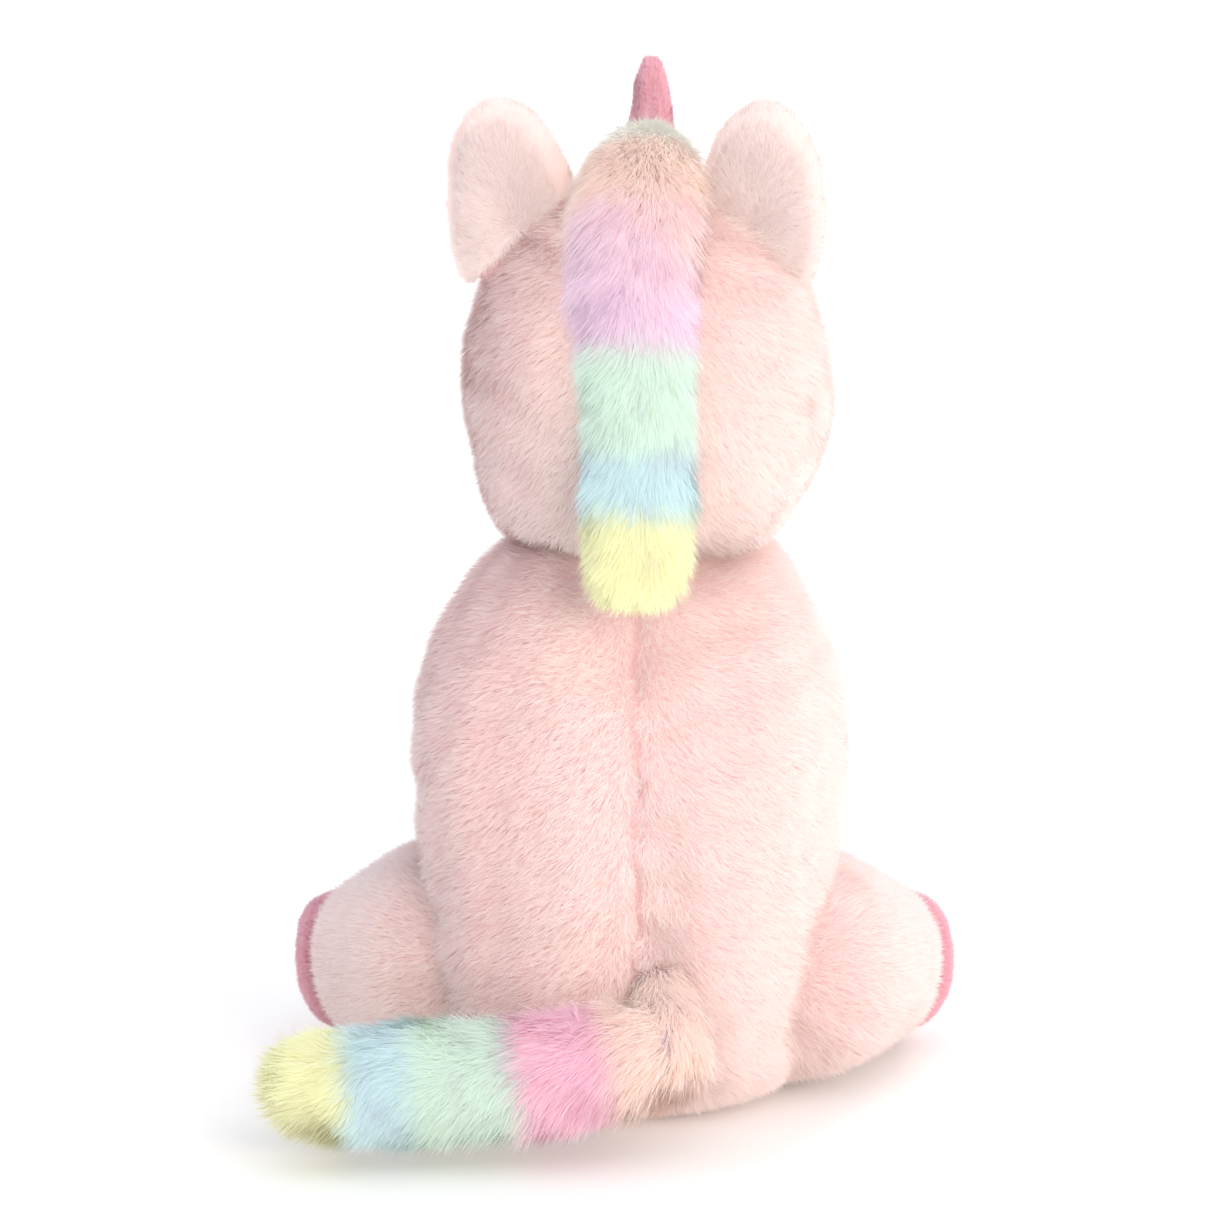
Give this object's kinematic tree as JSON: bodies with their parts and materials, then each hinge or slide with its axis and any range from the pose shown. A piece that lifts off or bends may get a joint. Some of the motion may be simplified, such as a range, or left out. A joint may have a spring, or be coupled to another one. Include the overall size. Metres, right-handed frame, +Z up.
{
  "type": "plush unicorn",
  "caption": "Soft sitting unicorn with a pale pink plush body, upright ears, a rose horn and hooves, and a pastel rainbow mane and tail.",
  "frame": {"origin": "middle of the flat seat, on the floor", "axes": "+Z up, -Y the way the toy faces, +X the toy's own left side"},
  "size_m": [0.2028, 0.1859, 0.2896],
  "materials": {
    "pink_plush": "short soft pile",
    "rose_plush": "crushed velour",
    "mane_fur": "long pile, dyed in pastel bands",
    "tail_fur": "long pile, dyed in pastel bands",
    "stuffing": "loose polyester fibre",
    "thread": "embroidery thread",
    "eye_plastic": "polished",
    "washer_plastic": "plain",
    "pouch_cloth": "plain weave",
    "pellet_plastic": "loose pellets"
  },
  "bodies": {
    "torso": {"belly_panel": "pink_plush", "body_back_left": "pink_plush", "body_back_right": "pink_plush", "seat_panel": "pink_plush", "body_stuffing": "stuffing", "pellet_pouch": "pouch_cloth", "pellets": "pellet_plastic", "neck_thread": "thread"},
    "neck": {"neck_wad": "stuffing"},
    "head": {"head_left": "pink_plush", "head_right": "pink_plush", "muzzle_cover": "pink_plush", "head_stuffing": "stuffing", "eye_left": "eye_plastic", "eye_right": "eye_plastic", "eye_washer_left": "washer_plastic", "eye_washer_right": "washer_plastic", "nostril_left": "thread", "nostril_right": "thread", "mouth_stitch": "thread", "mane_strip": "mane_fur"},
    "ear_left": {"ear_back_left": "pink_plush", "ear_lining_left": "rose_plush"},
    "ear_right": {"ear_back_right": "pink_plush", "ear_lining_right": "rose_plush"},
    "horn": {"horn_cover": "rose_plush", "horn_stuffing": "stuffing"},
    "mane_end": {"mane_tip": "mane_fur"},
    "tail": {"tail_cover": "tail_fur", "tail_stuffing": "stuffing"},
    "front_leg_left": {"front_leg_left_cover": "pink_plush", "front_leg_left_hoof": "rose_plush", "front_leg_left_sole": "rose_plush", "front_leg_left_stuffing": "stuffing"},
    "front_leg_right": {"front_leg_right_cover": "pink_plush", "front_leg_right_hoof": "rose_plush", "front_leg_right_sole": "rose_plush", "front_leg_right_stuffing": "stuffing"},
    "hind_leg_left": {"hind_leg_left_cover": "pink_plush", "hind_leg_left_hoof": "rose_plush", "hind_leg_left_sole": "rose_plush", "hind_leg_left_stuffing": "stuffing"},
    "hind_leg_right": {"hind_leg_right_cover": "pink_plush", "hind_leg_right_hoof": "rose_plush", "hind_leg_right_sole": "rose_plush", "hind_leg_right_stuffing": "stuffing"}
  },
  "joints": [
    {"name": "neck_turn", "type": "hinge", "parent": "torso", "child": "neck", "pos_m": [0, -0.002, 0.16], "axis": [0, 0, 1], "range_deg": [-30, 30], "stiffness_Nm_per_rad": 0.05},
    {"name": "head_nod", "type": "hinge", "parent": "neck", "child": "head", "pos_m": [0, -0.002, 0.16], "axis": [1, 0, 0], "range_deg": [-10, 10], "stiffness_Nm_per_rad": 0.3},
    {"name": "ear_left_fold", "type": "hinge", "parent": "head", "child": "ear_left", "pos_m": [0.033, 0.002, 0.2495], "axis": [0.7474, 0, -0.6644], "range_deg": [-20, 20], "stiffness_Nm_per_rad": 0.004},
    {"name": "ear_right_fold", "type": "hinge", "parent": "head", "child": "ear_right", "pos_m": [-0.033, 0.002, 0.2495], "axis": [0.7474, 0, 0.6644], "range_deg": [-20, 20], "stiffness_Nm_per_rad": 0.004},
    {"name": "horn_tilt", "type": "hinge", "parent": "head", "child": "horn", "pos_m": [0, -0.034, 0.246], "axis": [1, 0, 0], "range_deg": [-8, 8], "stiffness_Nm_per_rad": 0.004},
    {"name": "mane_lift", "type": "hinge", "parent": "head", "child": "mane_end", "pos_m": [0, 0.054, 0.195], "axis": [1, 0, 0], "range_deg": [0, 35], "stiffness_Nm_per_rad": 0.002},
    {"name": "tail_swing", "type": "hinge", "parent": "torso", "child": "tail", "pos_m": [0, 0.07, 0.028], "axis": [0, 0, 1], "range_deg": [0, 80]},
    {"name": "front_leg_left_raise", "type": "hinge", "parent": "torso", "child": "front_leg_left", "pos_m": [0.04, -0.061, 0.112], "axis": [-1, 0, 0], "range_deg": [0, 70]},
    {"name": "front_leg_right_raise", "type": "hinge", "parent": "torso", "child": "front_leg_right", "pos_m": [-0.04, -0.061, 0.112], "axis": [-1, 0, 0], "range_deg": [0, 70]},
    {"name": "hind_leg_left_spread", "type": "hinge", "parent": "torso", "child": "hind_leg_left", "pos_m": [0.046, -0.012, 0.0365], "axis": [0, 0, 1], "range_deg": [-4, 25]},
    {"name": "hind_leg_right_spread", "type": "hinge", "parent": "torso", "child": "hind_leg_right", "pos_m": [-0.046, -0.012, 0.0365], "axis": [0, 0, -1], "range_deg": [-4, 25]}
  ]
}
